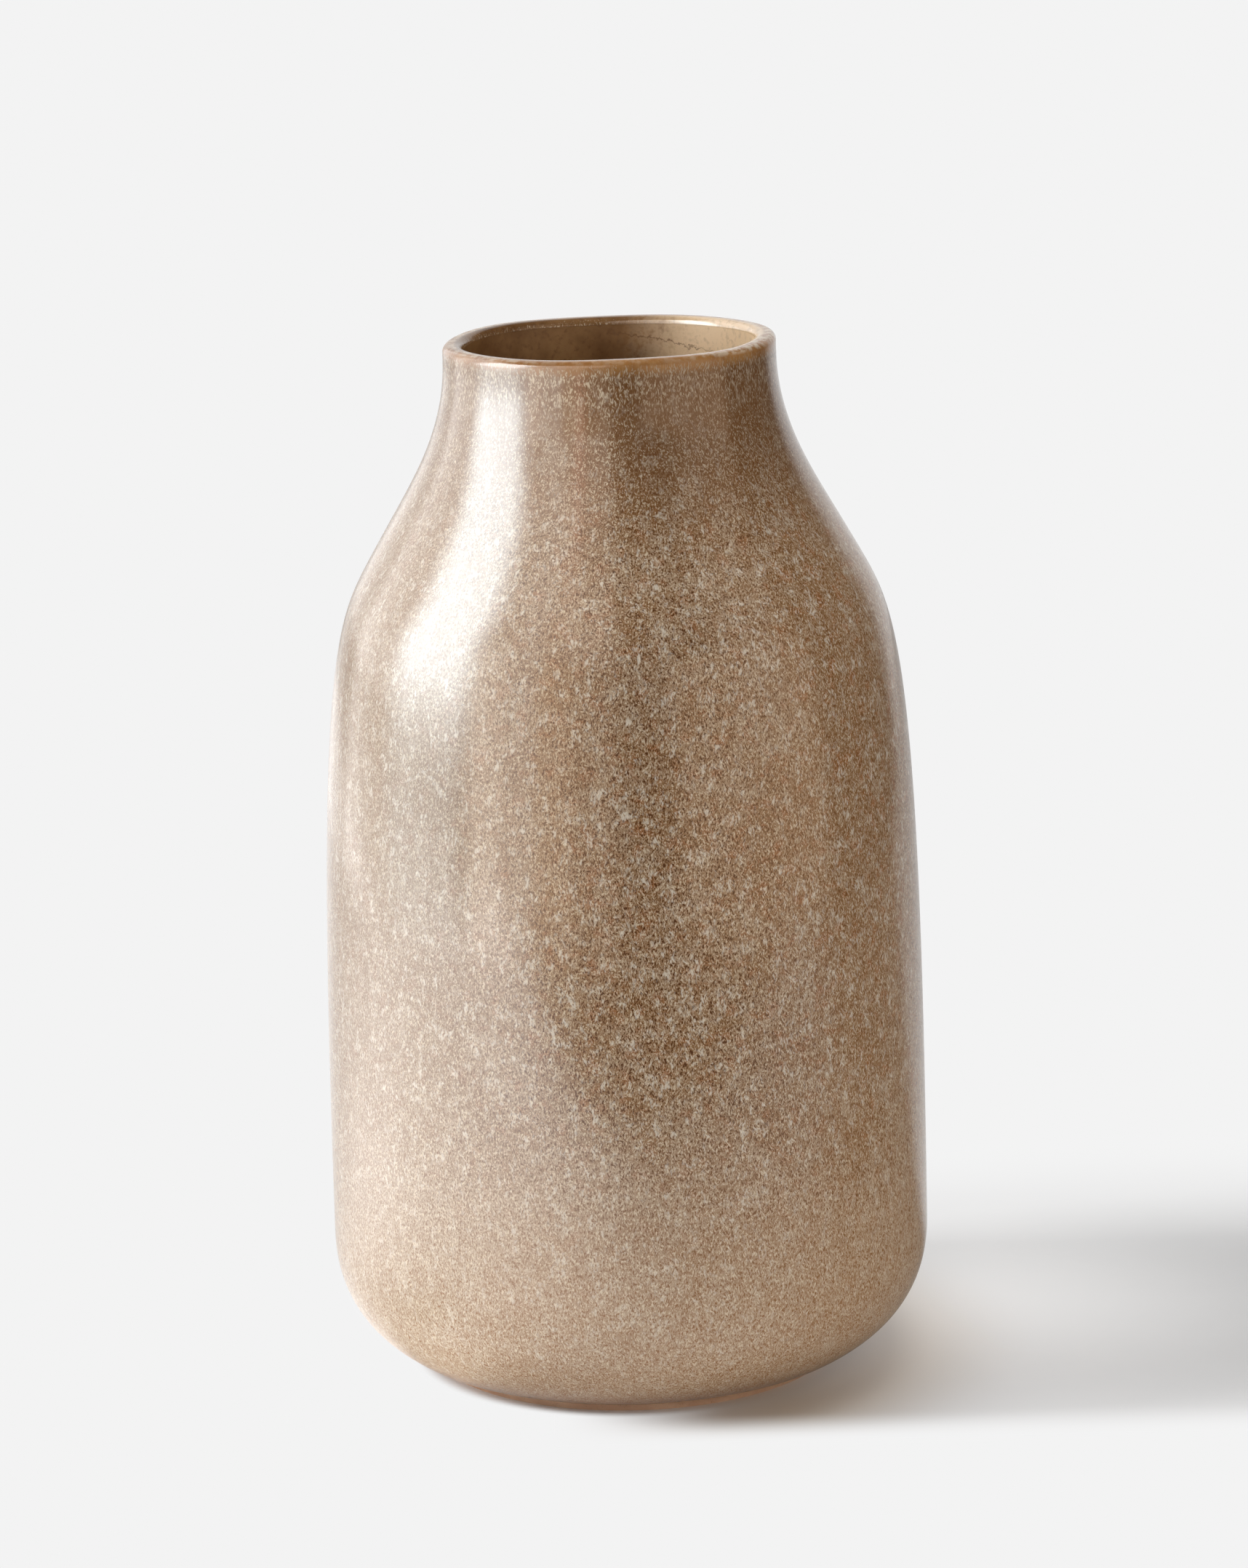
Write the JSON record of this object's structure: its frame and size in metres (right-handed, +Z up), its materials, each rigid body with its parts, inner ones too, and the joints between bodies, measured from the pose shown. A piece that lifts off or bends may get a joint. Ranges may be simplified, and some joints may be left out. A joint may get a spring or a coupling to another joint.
{
  "type": "glazed vase",
  "caption": "Tall stoneware vase with a rounded heel, full body, sloping shoulder and short upright neck, glazed inside and out over a bare foot ring.",
  "frame": {"origin": "middle of the foot, on the surface that the vase stands on", "axes": "+Z up along the vase's own axis, through the mouth; the vase is round, so X and Y are free"},
  "size_m": [0.1858, 0.1858, 0.32],
  "materials": {
    "stoneware": "bare fired clay, matt, reddish brown",
    "amber_glaze": "glossy amber brown glaze",
    "reactive_glaze": "glossy milky glaze broken into fine pale flecks over brown",
    "liner_glaze": "glossy brown liner glaze"
  },
  "bodies": {
    "root": {"stoneware_body": "stoneware", "base_glaze": "amber_glaze", "reactive_glaze": "reactive_glaze", "liner_glaze": "liner_glaze"}
  },
  "joints": []
}
